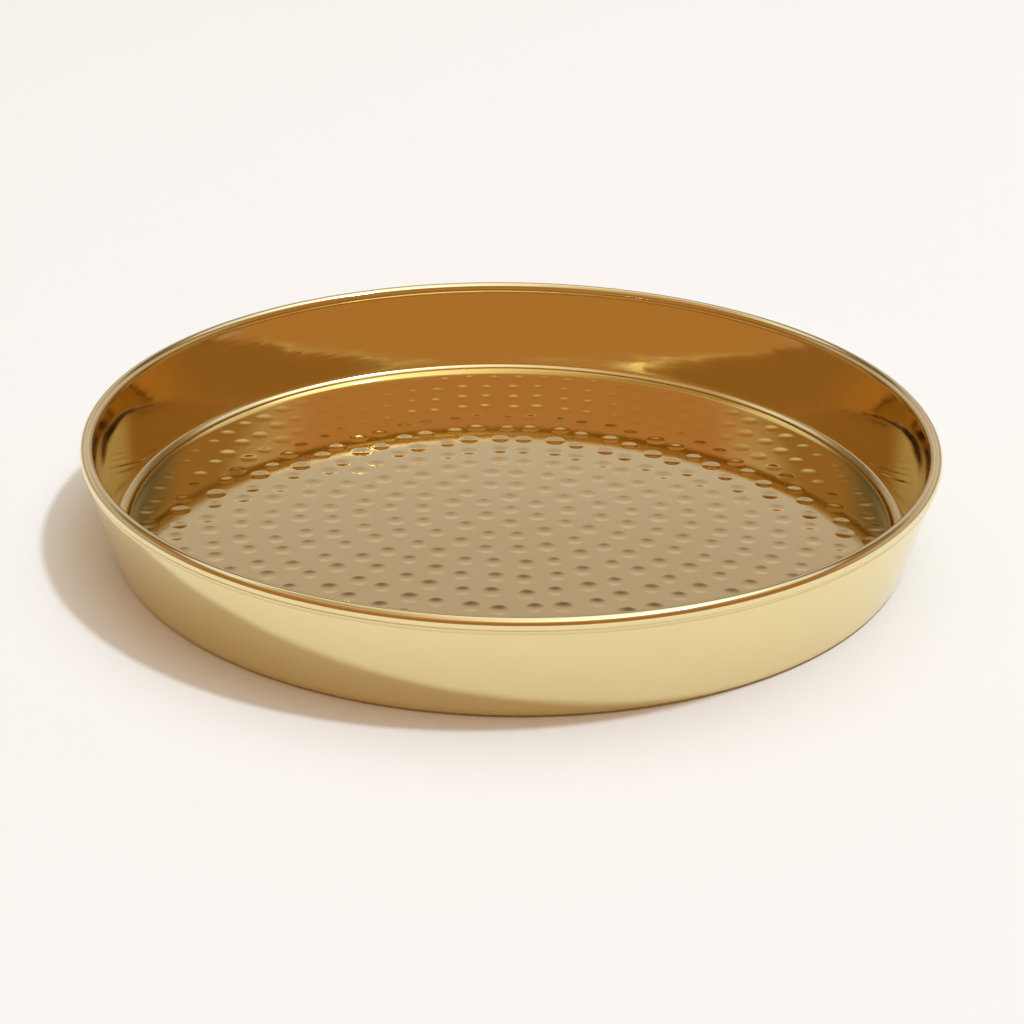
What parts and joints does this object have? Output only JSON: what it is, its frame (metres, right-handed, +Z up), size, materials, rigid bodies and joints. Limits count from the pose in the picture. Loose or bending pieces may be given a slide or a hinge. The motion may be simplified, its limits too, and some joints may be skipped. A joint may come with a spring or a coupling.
{
  "type": "thali plate",
  "caption": "Round flat-bottomed brass serving plate with a low flared side, an edge rolled over a wire and a floor covered with rings of hammer marks.",
  "frame": {"origin": "centre of the underside, in the plane that the plate stands on", "axes": "+Z up through the centre of the plate, out of its open top; X and Y are any level directions"},
  "size_m": [0.305, 0.305, 0.038],
  "materials": {
    "hammered_brass": "mirror polished over hammer marks",
    "spun_brass": "mirror polished, with faint lathe lines",
    "rolled_brass": "mirror polished",
    "drawn_wire": "as drawn, unpolished"
  },
  "bodies": {
    "root": {"hammered_floor": "hammered_brass", "side_wall": "spun_brass", "rolled_rim": "rolled_brass", "rim_wire": "drawn_wire"}
  },
  "joints": []
}
